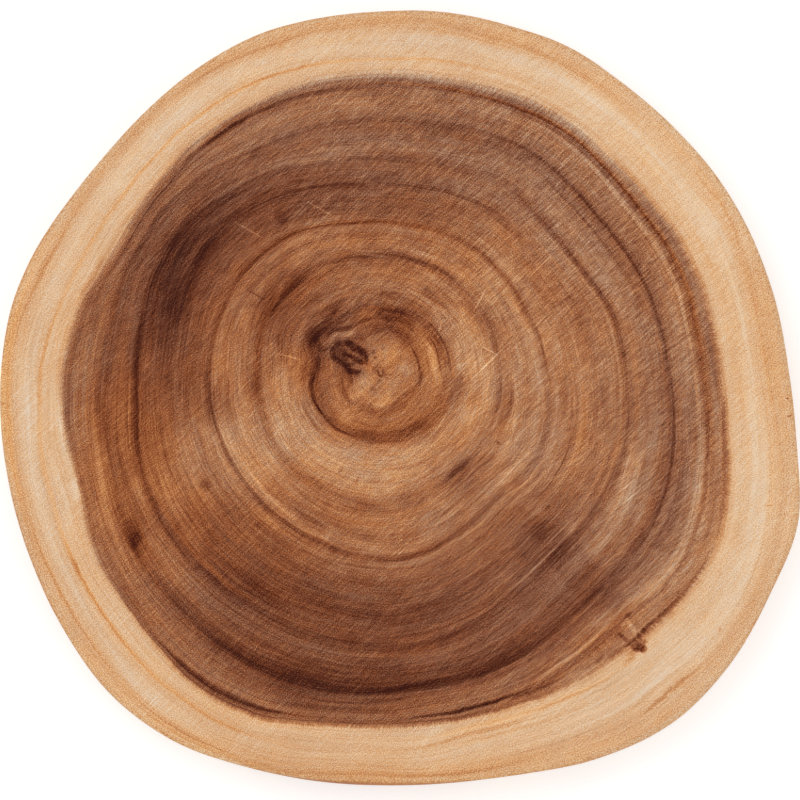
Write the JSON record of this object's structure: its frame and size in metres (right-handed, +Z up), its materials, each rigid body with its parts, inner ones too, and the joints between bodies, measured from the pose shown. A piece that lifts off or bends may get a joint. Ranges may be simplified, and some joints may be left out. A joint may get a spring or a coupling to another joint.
{
  "type": "round chopping block",
  "caption": "Round chopping block cut as a whole slice of a tree trunk, with dark heartwood, a pale sapwood rim, a knot beside the pith and rounded edges, free-standing and reversible.",
  "frame": {"origin": "middle of the footprint's bounding box, on the surface that the block stands on", "axes": "+Z up, from the underside to the chopping face; +X along the widest span; +Y towards the top of the picture"},
  "size_m": [0.34, 0.33, 0.04],
  "materials": {
    "sapwood": "sanded end grain, lightly oiled, satin",
    "heartwood": "sanded end grain, lightly oiled, satin",
    "knot": "sanded end grain, lightly oiled, satin",
    "pith": "sanded end grain, lightly oiled, satin"
  },
  "bodies": {
    "root": {"sapwood": "sapwood", "heartwood": "heartwood", "knot": "knot", "pith": "pith"}
  },
  "joints": []
}
